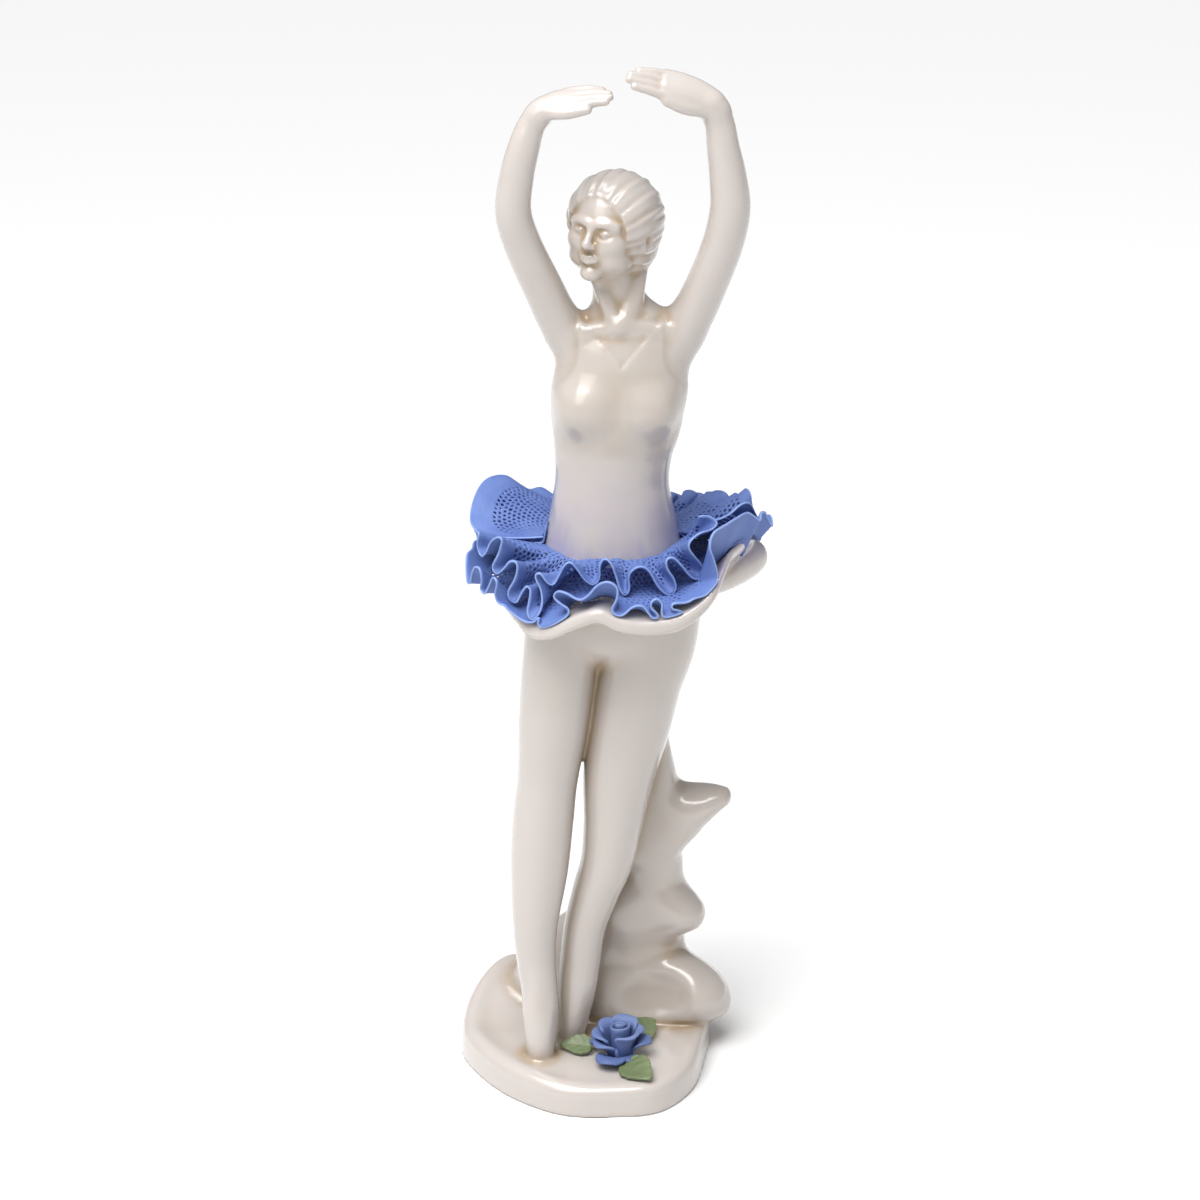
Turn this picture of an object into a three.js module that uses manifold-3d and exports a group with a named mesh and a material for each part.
// A glazed porcelain ballerina, 250 mm tall: one white casting with a skirt shelf, a rock and a base,
// three applied lace ruffles, and an applied rose with three leaves. Millimetres, +Z up, front towards -Y.
import * as THREE from "three";
import { mergeVertices } from "three/addons/utils/BufferGeometryUtils.js";
import Module from "manifold-3d";

const wasm = await Module();
wasm.setup();

// Driving dimensions
const GAP = 0.3; // glue line between an applied piece and what carries it
const BASE_TOP = 7.5;
const HIP = { x: -1.4, wide: 16.2, deep: 12.8 };
const SKIRT = { centre: [2, 0], hub: 130.4, hubRadius: 15, rimThick: 3.2, hubThick: 9 };
const HEAD = { at: [-1.5, -0.6, 213.3], turn: -30, lean: 4, lift: -4 };
const LACE = { thick: 0.9, pleats: 18, depth: 2.4, ramp: 7 };
const ROSE = { at: [0.6, -15.6], thick: 0.9 };

// Skirt rim seen from above: angle from +X in degrees, radius from the skirt centre, height of the top edge.
const RIM = [
  [-170, 30.2, 126.4], [-150, 30.6, 125.2], [-138, 30.8, 123.0], [-126, 30.7, 124.2], [-112, 30.3, 128.5],
  [-103, 30.1, 130.3], [-94, 30.0, 128.3], [-82, 30.0, 127.2], [-68, 30.3, 127.6], [-56, 30.2, 130.0],
  [-46, 29.6, 133.0], [-38, 28.4, 136.0], [-26, 27.4, 138.6], [-12, 28.4, 139.0], [0, 29.8, 137.6],
  [10, 30.6, 134.6], [24, 31.0, 128.6], [50, 30.6, 126.4], [74, 30.0, 124.0], [100, 29.6, 126.2],
  [126, 30.0, 123.8], [152, 30.4, 127.0],
];

// Lace tiers: where each spans, its height at the hips, and its outer edge as angle, radius and mean height
const TIERS = {
  lace_ruffle_lower: {
    from: 0, to: 360, waist: 132.8,
    edge: [
      [-170, 38.2, 131.4], [-150, 34.4, 128.6], [-137, 31.0, 125.6], [-120, 29.4, 130.2], [-104, 29.0, 133.2],
      [-90, 29.2, 131.2], [-74, 29.2, 130.2], [-58, 29.4, 132.6], [-44, 28.6, 137.2], [-30, 27.8, 142.2],
      [-10, 30.4, 142.6], [8, 33.6, 138.6], [24, 34.0, 136.0], [50, 31.4, 133.6], [90, 30.4, 129.8],
      [125, 33.0, 130.0], [150, 37.0, 132.8],
    ],
  },
  lace_ruffle_upper: {
    from: 0, to: 360, waist: 135.8,
    edge: [
      [-170, 36.2, 136.6], [-150, 29.4, 133.4], [-137, 25.0, 132.4], [-120, 22.6, 133.8], [-104, 21.6, 135.8],
      [-90, 21.6, 135.0], [-74, 21.8, 134.8], [-58, 22.6, 136.6], [-44, 23.2, 140.4], [-30, 24.6, 145.4],
      [-10, 27.6, 146.0], [8, 30.6, 142.4], [24, 31.6, 139.6], [50, 29.4, 137.2], [90, 28.0, 133.2],
      [125, 32.0, 133.8], [150, 36.6, 137.0],
    ],
  },
  lace_ruffle_back: {
    from: 24, to: 166, waist: 138.8,
    edge: [
      [-150, 28, 140], [-90, 22, 139], [-30, 24, 141], [24, 28.6, 141.6], [50, 27.0, 138.8], [90, 26.4, 136.0],
      [118, 29.2, 136.0], [134, 33.0, 139.6], [150, 37.0, 143.8], [166, 37.2, 140.6],
    ],
  },
};

// The fold at the right of the skirt is filled underneath: x, y, z, half height and half depth.
const SKIRT_FOLD = [[19, -8, 128.6, 4, 5], [25, -5, 130.2, 4.8, 6], [29.2, -1, 131.6, 5.2, 5.4], [31.8, 2, 131.8, 3.8, 3.8]];

// Outline of the base seen from above
const BASE_OUTLINE = [
  [-39.4, 2], [-37.2, -8], [-27.6, -22.4], [-14, -32], [0, -33], [10.5, -30.6], [18.6, -20],
  [22, -5], [23.4, 9], [17, 23], [2, 31], [-16, 32.4], [-29, 26], [-37, 14],
];
// How far the base edge is drawn in at each height
const BASE_EDGE = [[1.0, 0], [0, 1.4], [0.2, 4.0], [1.6, 6.4], [5, BASE_TOP], [12, BASE_TOP], [22, BASE_TOP]];

// A limb station holds x, y, z, half width across and half depth front to back.
const TORSO = [
  [-2.0, 0, 118, 15.2, 11.8], [HIP.x, 0, 132, HIP.wide, HIP.deep], [-1.4, 0, 138.6, 15.6, 12.2],
  [-1.6, 0, 145, 14.1, 11], [-1.5, 0, 152, 13.1, 9.8], [-1.2, 0, 160, 13.6, 10],
  [-0.6, -0.2, 167, 15.0, 11], [-0.1, -0.3, 173, 15.6, 11.4], [0.8, 0, 178, 15.4, 10.4],
  [1.6, 0.4, 184, 14.4, 8.8], [1.2, 0.8, 188.6, 11.6, 7.2], [0.7, 1.0, 191.6, 7.4, 6.0], [0.4, 1, 193.4, 5.6, 5.4],
];
const NECK = [
  [1.2, 1.2, 186, 7.4, 6.2], [0.6, 1.0, 192, 6.6, 6.0], [-0.1, 0.6, 196, 5.8, 5.7],
  [-0.8, 0.4, 200, 5.5, 5.7], [-0.8, 0.6, 206, 5.6, 6.0],
];
const LEFT_LEG = [
  [-12.4, -1, 125, 9.4, 10], [-13.3, -1.6, 113, 9.1, 10], [-14.4, -2.2, 103, 8.9, 9.8],
  [-15.6, -3, 91, 8.3, 9], [-17, -3.5, 77, 7.4, 8], [-18.2, -4.6, 66, 7.5, 8],
  [-19.1, -5.6, 54, 7.0, 7.8], [-20.2, -7.6, 40, 5.5, 6.3], [-20, -9, 30, 4.7, 5.2],
  [-19.3, -10.4, 23.5, 4.4, 5.1], [-19, -12.4, 17, 4.5, 5.0], [-19, -14.6, 11, 3.9, 4.2], [-19, -15.8, 6.4, 3.0, 3.2],
];
const RIGHT_LEG = [
  [8.2, 1, 125, 12.2, 11.6], [7.2, 0.8, 112, 11.6, 11.4], [5.0, 0.4, 102, 10.6, 11],
  [2.7, 0, 90, 10.0, 10], [0.2, -1, 76.5, 8.5, 9], [-1.2, -1.8, 64, 7.3, 8.2],
  [-2.7, -2, 54, 6.6, 7.8], [-5.2, -2, 46, 5.8, 6.9], [-7.8, -2.4, 36.5, 5.0, 5.8],
  [-8.9, -3, 27, 4.7, 5.2], [-9.6, -4.2, 20.5, 4.4, 4.9], [-10.4, -5.4, 14.5, 3.7, 4.4], [-11.2, -6.6, 9, 2.8, 3.3],
];
const LEFT_ARM = [
  [-5, 1.5, 182, 6.4, 6.4], [-10.6, 0.8, 186.4, 5.8, 6], [-14, -0.6, 191.6, 4.9, 5.3],
  [-17.4, -3, 199.5, 4.5, 4.8], [-21.6, -6, 210, 4.2, 4.5], [-23.6, -8, 218, 4.1, 4.3],
  [-22.8, -8.6, 226, 3.9, 4], [-21.2, -8.6, 232.4, 3.6, 3.7], [-19.4, -8.5, 237.6, 3.1, 3.1],
  [-17.2, -8.6, 240.8, 2.6, 2.9],
];
const RIGHT_ARM = [
  [6, 1.5, 181, 7, 6.8], [12.6, 0.8, 186, 6.4, 6.4], [16.6, -0.8, 192, 5.2, 5.5],
  [19.8, -3, 199.5, 4.8, 5.1], [23.3, -6, 210, 4.6, 4.8], [24.8, -8, 218.6, 4.5, 4.6],
  [24.2, -8.4, 226, 4.2, 4.2], [23.1, -8.4, 232.4, 3.7, 3.8], [22.2, -8.2, 238, 3.3, 3.3],
  [20.2, -8.4, 242.4, 3.0, 3.2],
];
// A palm runs from the wrist to the knuckles: x, y, z, half thickness and half width.
const LEFT_PALM = [
  [-17.8, -8.5, 240.2, 2.7, 2.9], [-14.8, -8.8, 242.2, 2.3, 3.5], [-11.4, -9.2, 243.1, 1.8, 3.8], [-8.6, -9.6, 243.6, 1.3, 3.6],
];
const RIGHT_PALM = [
  [21.4, -8.3, 240.8, 3.0, 3.1], [18.4, -8.8, 243.6, 2.6, 3.8], [14, -9.6, 245.4, 2.2, 4.3], [10, -10.4, 246.8, 1.5, 4.1],
];
const ROCK_COLUMN = [
  [-5, 15, 3, 23, 12], [-3.6, 14.6, 12, 22, 11.5], [2, 14, 24, 16, 10.5], [6.5, 13, 36, 10.5, 9],
  [8.5, 12, 48, 8, 8], [8.6, 10.5, 60, 7.4, 7.6], [8.4, 8.6, 70, 6.6, 7], [7.4, 6, 82, 5.4, 6], [6.6, 3, 95, 4.4, 5],
];
// A ledge is a tapering slab that runs out to the right from the column: x, y, z, half height and half depth.
const LEDGES = [
  [[4, 10, 57, 11, 9], [11, 9, 60.6, 9.6, 8.4], [17, 8, 63.6, 6.4, 7.2], [22.6, 7, 66.2, 3.8, 5.6], [27, 6.4, 67.6, 1.7, 3.4]],
  [[2, 12, 35, 10, 10], [9, 11, 35.6, 8.6, 9.4], [14.4, 10, 34.6, 6.8, 8], [18.6, 9.4, 33.4, 4.4, 5.6], [20.4, 9, 33, 2.2, 3.2]],
  [[-2, 11, 12, 9.6, 12], [7, 9, 14, 9, 12.4], [15, 7, 14.4, 8.4, 11.6], [22, 6, 12.6, 7, 9.4], [26, 5.6, 11.2, 4.4, 5.6], [27.4, 5.4, 10.8, 2, 3]],
];

const vec = (list) => new THREE.Vector3(list[0], list[1], list[2]);
const rad = THREE.MathUtils.degToRad;

// Solids

// A closed solid from a BufferGeometry, turned to face outwards
function solidOf(geometry) {
  const plain = new THREE.BufferGeometry().setAttribute("position", geometry.getAttribute("position"));
  if (geometry.index) plain.setIndex(geometry.index);
  const merged = mergeVertices(plain, 1e-4);
  const points = merged.attributes.position.array;
  const faces = new Uint32Array(merged.index.array.filter(keepFace));
  function keepFace(_, i, all) {
    const [a, b, c] = all.slice(i - (i % 3), i - (i % 3) + 3);
    return a !== b && b !== c && c !== a;
  }
  if (signedVolume(points, faces) < 0) {
    for (let i = 0; i < faces.length; i += 3) [faces[i], faces[i + 1]] = [faces[i + 1], faces[i]];
  }
  return new wasm.Manifold(new wasm.Mesh({ numProp: 3, vertProperties: points, triVerts: faces }));
}

function signedVolume(points, faces) {
  const at = (i) => new THREE.Vector3().fromArray(points, i * 3);
  let sum = 0;
  for (let i = 0; i < faces.length; i += 3) {
    sum += at(faces[i]).dot(at(faces[i + 1]).cross(at(faces[i + 2])));
  }
  return sum / 6;
}

// Rings of equal count skinned one to the next, and closed by an end face each or, hooped, on themselves
function skin(rings, hooped = false) {
  const [count, turns] = [rings[0].length, rings.length];
  const points = rings.flat();
  const faces = [];
  for (let k = 0; k < (hooped ? turns : turns - 1); k += 1) {
    for (let i = 0; i < count; i += 1) {
      const [j, m] = [(i + 1) % count, (k + 1) % turns];
      const [a, b, c, d] = [k * count + i, k * count + j, m * count + j, m * count + i];
      faces.push(a, b, c, a, c, d);
    }
  }
  for (const k of hooped ? [] : [0, turns - 1]) {
    points.push(rings[k].reduce((sum, p) => sum.add(p), new THREE.Vector3()).divideScalar(count));
    for (let i = 0; i < count; i += 1) {
      const [a, b] = [k * count + i, k * count + ((i + 1) % count)];
      faces.push(...(k ? [a, b, points.length - 1] : [b, a, points.length - 1]));
    }
  }
  return solidOf(new THREE.BufferGeometry().setFromPoints(points).setIndex(faces));
}

// A smooth tube of elliptical sections through limb stations; front is the way its depth axis looks.
function limb(stations, sides, steps, front = new THREE.Vector3(0, -1, 0)) {
  const path = new THREE.CatmullRomCurve3(stations.map(vec), false, "catmullrom");
  const sizes = new THREE.CatmullRomCurve3(
    stations.map((s) => new THREE.Vector3(s[3], s[4], 0)), false, "catmullrom",
  );
  const rings = [];
  for (let k = 0; k <= steps; k += 1) {
    const t = k / steps;
    const [centre, size, tangent] = [path.getPoint(t), sizes.getPoint(t), path.getTangent(t)];
    const across = new THREE.Vector3().crossVectors(tangent, front).normalize();
    const depth = new THREE.Vector3().crossVectors(across, tangent).normalize();
    rings.push(ellipseRing(centre, across.multiplyScalar(size.x), depth.multiplyScalar(size.y), sides));
  }
  return skin(rings);
}

function ellipseRing(centre, across, depth, sides) {
  return Array.from({ length: sides }, (_, i) => {
    const angle = ((i + 0.5) / sides) * Math.PI * 2;
    return centre.clone().addScaledVector(across, Math.cos(angle)).addScaledVector(depth, Math.sin(angle));
  });
}

function ellipsoid(at, radii, matrix = new THREE.Matrix4(), segments = 14) {
  const ball = new THREE.SphereGeometry(1, segments, Math.round(segments * 0.7)).deleteAttribute("uv");
  ball.deleteAttribute("normal").scale(...radii).translate(...at).applyMatrix4(matrix);
  return solidOf(ball);
}

// Radius and height at an angle, from a closed cubic through rows of angle, radius and height
function around(rows, angle) {
  const turn = THREE.MathUtils.euclideanModulo(angle - rows[0][0], 360) + rows[0][0];
  const row = (i) => {
    const [a, r, z] = rows[THREE.MathUtils.euclideanModulo(i, rows.length)];
    return [a + 360 * Math.floor(i / rows.length), r, z];
  };
  let i = 0;
  while (row(i + 1)[0] <= turn) i += 1;
  const [p, q, s, u] = [row(i - 1), row(i), row(i + 1), row(i + 2)];
  const span = s[0] - q[0];
  const t = (turn - q[0]) / span;
  const between = (n) => {
    const m0 = ((s[n] - p[n]) / (s[0] - p[0])) * span;
    const m1 = ((u[n] - q[n]) / (u[0] - q[0])) * span;
    const [t2, t3] = [t * t, t * t * t];
    return q[n] * (2 * t3 - 3 * t2 + 1) + m0 * (t3 - 2 * t2 + t) + s[n] * (3 * t2 - 2 * t3) + m1 * (t3 - t2);
  };
  return { radius: between(1), height: between(2) };
}

// Height of the skirt's upper face at an angle, a share of the way from the hub to the rim
function shelfTop(angle, share) {
  return THREE.MathUtils.lerp(SKIRT.hub, around(RIM, angle).height, Math.min(1.15, share) ** 1.6);
}

function polar(centre, angle, radius, z) {
  return new THREE.Vector3(
    centre[0] + radius * Math.cos(rad(angle)), centre[1] + radius * Math.sin(rad(angle)), z,
  );
}

// The white casting

function skirtShelf(grow = 0, sides = 50) {
  // Each profile row: share of the way out, and depth below the upper face
  const { hubThick, rimThick } = SKIRT;
  const profile = [
    [0, hubThick], [0.5, rimThick * 1.5], [0.95, rimThick], [1, rimThick * 0.66], [1, rimThick * 0.34], [0.95, 0], [0.4, 0],
  ];
  return skin(profile.map(([share, below]) =>
    Array.from({ length: sides }, (_, i) => {
      const angle = (i / sides) * 360;
      const radius = THREE.MathUtils.lerp(SKIRT.hubRadius, around(RIM, angle).radius + grow, share);
      return polar(SKIRT.centre, angle, radius, shelfTop(angle, share) + grow - below);
    }),
  ));
}

function skirtFold(grow = 0) {
  const grown = (row) => [...row.slice(0, 3), row[3] + grow, row[4] + grow];
  return limb(SKIRT_FOLD.map(grown), 10, 5);
}

function baseSlab(sides = 36) {
  const curve = new THREE.CatmullRomCurve3(BASE_OUTLINE.map(([x, y]) => new THREE.Vector3(x, y, 0)), true, "catmullrom");
  const middle = new THREE.Vector3(-8.5, 0, 0);
  return skin(BASE_EDGE.map(([inset, z]) =>
    Array.from({ length: sides }, (_, i) => {
      const point = curve.getPoint(i / sides);
      const share = 1 - inset / point.distanceTo(middle);
      return point.lerpVectors(middle, point.clone(), share).setZ(z + rimBank(point.x, point.y, z));
    }),
  ));
}

// The base edge banks up at the back left, where the rock begins.
function rimBank(x, y, z) {
  const near = Math.max(0, 1 - Math.hypot(x + 29, y - 22) / 26);
  return (z / BASE_TOP) * 6 * near * near * (3 - 2 * near);
}

function rock() {
  const basin = ellipsoid([9, -7.5, 19], [13, 11, 8.2], undefined, 12);
  const ledges = LEDGES.map((stations) => limb(stations, 10, 6));
  return ledges.reduce((sum, ledge) => sum.add(ledge), limb(ROCK_COLUMN, 12, 8)).subtract(basin);
}

function head() {
  const place = new THREE.Matrix4().makeTranslation(...HEAD.at)
    .multiply(new THREE.Matrix4().makeRotationY(rad(HEAD.lean)))
    .multiply(new THREE.Matrix4().makeRotationZ(rad(HEAD.turn)))
    .multiply(new THREE.Matrix4().makeRotationX(rad(HEAD.lift)));
  const skull = ellipsoid([0, 0.6, 2.0], [9.6, 10.6, 9.6], place, 12);
  const jaw = ellipsoid([0, -2.6, -4.4], [7.4, 7.0, 7.6], place, 12);
  const nose = ellipsoid([0, -9.7, -2.4], [1.2, 1.5, 2.4], place, 6);
  const lips = ellipsoid([0, -9.0, -6.6], [2.0, 0.9, 0.9], place, 6);
  const faceOpening = ellipsoid([0, -10, -4.0], [9.2, 8.4, 11.6], place, 12);
  const hair = ellipsoid([0, 1.4, 1.4], [11, 11.6, 11], place, 16).subtract(faceOpening);
  const nape = ellipsoid([0, 3.4, -5.4], [9.2, 8, 7.4], place, 12).subtract(faceOpening);
  const bun = ellipsoid([0, 11.4, -2.2], [5, 4, 4.8], place, 8);
  return [skull, jaw, nose, lips, hair, nape, bun].reduce((sum, piece) => sum.add(piece));
}

// Four fingers side by side from the knuckles, and a thumb below the palm
function hand(palm, { tilt, reach, spread, thumb }) {
  const across = new THREE.Vector3(0, -Math.cos(rad(tilt)), -Math.sin(rad(tilt)));
  const solids = [limb(palm, 8, 5, across)];
  const knuckles = vec(palm[palm.length - 2]);
  for (let i = 0; i < 4; i += 1) {
    const offset = (i - 1.5) * spread;
    const start = knuckles.clone().addScaledVector(across, offset);
    const tip = start.clone().add(vec(reach)).addScaledVector(across, -offset * 0.35);
    const middle = start.clone().lerp(tip, 0.55).add(new THREE.Vector3(0, 0, 0.5));
    solids.push(limb([
      [...start, 1.15, 1.15], [...middle, 1.0, 1.0], [...tip, 0.75, 0.8],
    ], 5, 3, across));
  }
  solids.push(limb(thumb, 5, 3, across));
  return solids.reduce((sum, piece) => sum.add(piece));
}

function casting() {
  const leftHand = hand(LEFT_PALM, {
    tilt: 30, reach: [9.4, -1.6, 1.4], spread: 1.85,
    thumb: [[-15.4, -11, 240.6, 1.5, 1.5], [-11.4, -12.4, 241, 1.3, 1.3], [-7, -13, 241.6, 0.9, 0.9]],
  });
  const rightHand = hand(RIGHT_PALM, {
    tilt: 52, reach: [-12, -2.6, 3.9], spread: 2.0,
    thumb: [[18.4, -11, 240.8, 1.6, 1.6], [14, -12.6, 241.8, 1.4, 1.4], [10, -13, 243, 0.9, 0.9]],
  });
  const parts = [
    limb(TORSO, 16, 13), limb(NECK, 10, 4), head(),
    limb(LEFT_LEG, 12, 13), limb(RIGHT_LEG, 12, 13),
    limb(LEFT_ARM, 10, 10), limb(RIGHT_ARM, 10, 10), leftHand, rightHand,
    skirtShelf(), skirtFold(), baseSlab(), rock(),
  ];
  return parts.reduce((sum, part) => sum.add(part)).subtract(slabBelow(0));
}

// A wide block with its top at the given height
function slabBelow(height) {
  return solidOf(new THREE.BoxGeometry(120, 120, 20).translate(0, 0, height - 10));
}

// Applied lace

// Distance from the skirt centre to the hips at an angle
function hipRadius(angle) {
  const [c, s] = [Math.cos(rad(angle)), Math.sin(rad(angle))];
  const [wide, deep, off] = [HIP.wide + GAP + 0.2, HIP.deep + GAP + 0.2, HIP.x - SKIRT.centre[0]];
  const a = (c / wide) ** 2 + (s / deep) ** 2;
  const b = (-2 * c * off) / wide ** 2;
  const k = (off / wide) ** 2 - 1;
  return (-b + Math.sqrt(b * b - 4 * a * k)) / (2 * a);
}

// Every tier shares one field of pleats, so the tiers stay parallel where they lie over each other.
function lacePoint(tier, angle, share) {
  const inner = hipRadius(angle);
  const edge = around(tier.edge, angle);
  const phase = LACE.pleats * angle + 30 * Math.sin(rad(3 * angle));
  const radius = THREE.MathUtils.lerp(inner, edge.radius, share);
  const opened = THREE.MathUtils.smoothstep(radius - inner, 0, LACE.ramp);
  const height = THREE.MathUtils.lerp(tier.waist, edge.height, share ** 0.8) + LACE.depth * opened * Math.cos(rad(phase));
  return polar(SKIRT.centre, angle, radius, height);
}

// A tier is trimmed to clear the skirt shelf below it, and crumbs of the trim are dropped.
function laceTier(tier) {
  const span = tier.to - tier.from;
  const count = Math.round((span / 360) * LACE.pleats * 6);
  const at = (u, v) => lacePoint(tier, THREE.MathUtils.lerp(tier.from, tier.to, u), v);
  const whole = sheet(at, count, 2, LACE.thick, span === 360);
  const trimmed = whole.subtract(skirtShelf(GAP)).subtract(skirtFold(GAP));
  return trimmed.decompose().sort((a, b) => b.volume() - a.volume())[0];
}

// A sheet of even thickness over a surface at(u, v), with u and v from 0 to 1; hooped where it closes on itself
function sheet(at, along, across, thick, hooped = false) {
  const normal = (u, v) => {
    const [h, lo, hi] = [1e-3, Math.max(0, v - 0.02), Math.min(1, v + 0.02)];
    const out = at(u, hi).sub(at(u, lo));
    return out.cross(at(u + h, v).sub(at(u - h, v))).normalize();
  };
  const rings = Array.from({ length: hooped ? along : along + 1 }, (_, i) => {
    const u = i / along;
    const face = (side) => Array.from({ length: across + 1 }, (__, k) =>
      at(u, k / across).addScaledVector(normal(u, k / across), (side * thick) / 2));
    return [...face(1), ...face(-1).reverse()];
  });
  return skin(rings, hooped);
}

// Applied rose: each petal is wrapped part of the way round the heart.

function petal({ turn, spread, inner, outer, height, sag = 0.6 }) {
  const seat = BASE_TOP + GAP + 0.5;
  const at = (u, v) => {
    const side = 2 * u - 1;
    const open = Math.sin(Math.PI * (0.2 + 0.66 * v));
    const radius = THREE.MathUtils.lerp(inner, outer, v ** 1.4) + 0.35 * side * side * v;
    return polar(ROSE.at, turn + side * spread * open, radius, seat + height * (1 - (1 - v) ** 1.7) - sag * side * side * v);
  };
  return sheet(at, 4, 2, ROSE.thick);
}

const PETALS = [
  { turn: 70, spread: 62, inner: 1.8, outer: 3.4, height: 6.6 },
  { turn: -165, spread: 60, inner: 1.8, outer: 3.4, height: 6.2 },
  { turn: -50, spread: 58, inner: 2.0, outer: 3.9, height: 5.9 },
  { turn: 78, spread: 44, inner: 2.4, outer: 6.2, height: 6.6 },
  { turn: 150, spread: 34, inner: 2.4, outer: 6.4, height: 5.2 },
  { turn: -160, spread: 26, inner: 2.4, outer: 6.6, height: 3.9 },
  { turn: -56, spread: 36, inner: 2.4, outer: 5.6, height: 4.8 },
  { turn: -114, spread: 30, inner: 2.2, outer: 9.2, height: 1.5, sag: -0.5 },
  { turn: -4, spread: 30, inner: 2.2, outer: 8.6, height: 2.4, sag: -0.4 },
];

function rose() {
  const seat = BASE_TOP + GAP;
  const heart = skin([[0, 2.9], [2, 2.9], [5, 2.1], [6.6, 1.5]].map(([z, r]) =>
    Array.from({ length: 10 }, (_, i) => polar(ROSE.at, i * 36, r, seat + z)),
  ));
  return PETALS.reduce((sum, row) => sum.add(petal(row)), heart).subtract(slabBelow(seat));
}

// A leaf row: where its stalk end lies from the rose, its turn about Z, length, width, pitch and roll in degrees
const LEAVES = {
  leaf_left: { at: [-7.0, 1.4], turn: 170, long: 8.2, wide: 6.6, lift: 4, roll: -34 },
  leaf_back: { at: [4.0, 7.6], turn: 48, long: 7.0, wide: 7.2, lift: 22, roll: 26 },
  leaf_front: { at: [1.6, -6.8], turn: -52, long: 9.6, wide: 8.0, lift: 5, roll: 20 },
};

// A pointed leaf with a keel along its midrib, laid so that its lowest point just clears the base
function leaf({ at, turn, long, wide, lift, roll }) {
  const outline = [[0, 0.14], [0.14, 0.66], [0.34, 1], [0.6, 0.88], [0.82, 0.5], [1, 0.06]];
  const rings = outline.map(([share, half]) => {
    const [w, cup] = [(half * wide) / 2, 0.5 * half];
    return [[-w, cup], [0, 0], [w, cup], [w, cup + 0.8], [0, 0.8], [-w, cup + 0.8]]
      .map(([across, height]) => new THREE.Vector3(share * long, across, height));
  });
  const pose = new THREE.Matrix4().makeRotationZ(rad(turn))
    .multiply(new THREE.Matrix4().makeRotationY(rad(-lift)))
    .multiply(new THREE.Matrix4().makeRotationX(rad(roll)));
  const posed = skin(rings.map((ring) => ring.map((p) => p.applyMatrix4(pose))));
  const drop = BASE_TOP + GAP - posed.boundingBox().min[2];
  return posed.translate(ROSE.at[0] + at[0], ROSE.at[1] + at[1], drop);
}

// Assembly

const FINISH = {
  porcelain: new THREE.MeshStandardMaterial({ color: 0xece4dd, roughness: 0.12, metalness: 0 }),
  lace: new THREE.MeshStandardMaterial({ color: 0x6f8ecb, roughness: 0.75, metalness: 0 }),
  petal: new THREE.MeshStandardMaterial({ color: 0x6c8bcb, roughness: 0.7, metalness: 0 }),
  leaf: new THREE.MeshStandardMaterial({ color: 0x7c8f62, roughness: 0.5, metalness: 0 }),
};

function piece(name, solid, finish) {
  const { vertProperties, triVerts } = solid.getMesh();
  const geometry = new THREE.BufferGeometry().setAttribute("position", new THREE.BufferAttribute(vertProperties, 3));
  geometry.setIndex(new THREE.BufferAttribute(triVerts, 1)).computeVertexNormals();
  const mesh = new THREE.Mesh(geometry, FINISH[finish]);
  mesh.name = name;
  return mesh;
}

const ballerina = new THREE.Group();
ballerina.add(piece("dancer_casting", casting(), "porcelain"));
for (const [name, tier] of Object.entries(TIERS)) ballerina.add(piece(name, laceTier(tier), "lace"));
ballerina.add(piece("rose", rose(), "petal"));
for (const [name, row] of Object.entries(LEAVES)) ballerina.add(piece(name, leaf(row), "leaf"));

// The origin is under the middle of the whole piece.
const middle = new THREE.Box3().setFromObject(ballerina).getCenter(new THREE.Vector3());
ballerina.position.set(-middle.x, -middle.y, 0);

export default ballerina;
